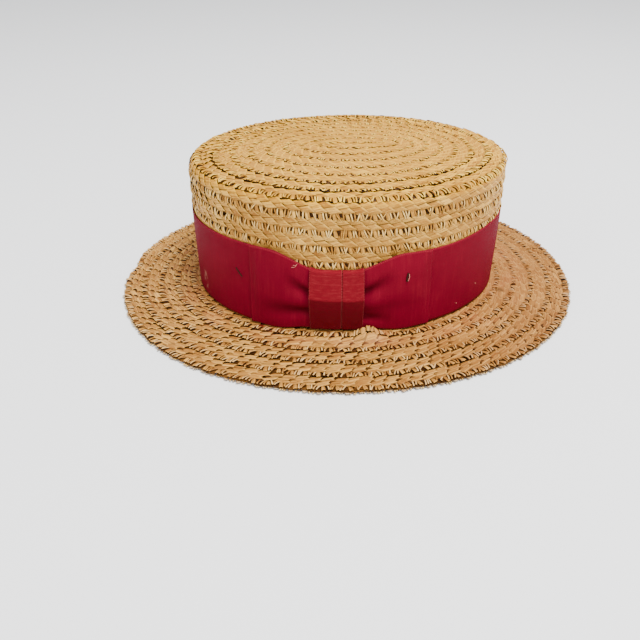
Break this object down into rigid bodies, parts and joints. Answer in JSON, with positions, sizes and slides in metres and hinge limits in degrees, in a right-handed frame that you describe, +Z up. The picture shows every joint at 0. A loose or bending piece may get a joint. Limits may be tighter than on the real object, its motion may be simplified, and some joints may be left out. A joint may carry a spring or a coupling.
{
  "type": "straw boater hat",
  "caption": "Stiff straw boater with a flat oval crown, a flat brim, a wide red ribbon band and a flat bow on the wearer's left.",
  "frame": {"origin": "middle of the brim's outline, on the surface that the brim rests on", "axes": "+Z up through the crown, X along the hat's length with the wearer's forehead at -X, -Y towards the bow on the wearer's left"},
  "size_m": [0.3102, 0.2726, 0.09],
  "materials": {
    "straw": "sewn natural straw plait, satin, a little darker and dustier on the brim",
    "ribbon": "red grosgrain with fine upright ribs, soft sheen"
  },
  "bodies": {
    "root": {"crown": "straw", "brim": "straw", "ribbon_band": "ribbon", "bow_loop_front": "ribbon", "bow_loop_back": "ribbon", "bow_knot_wide": "ribbon", "bow_knot_narrow": "ribbon"}
  },
  "joints": []
}
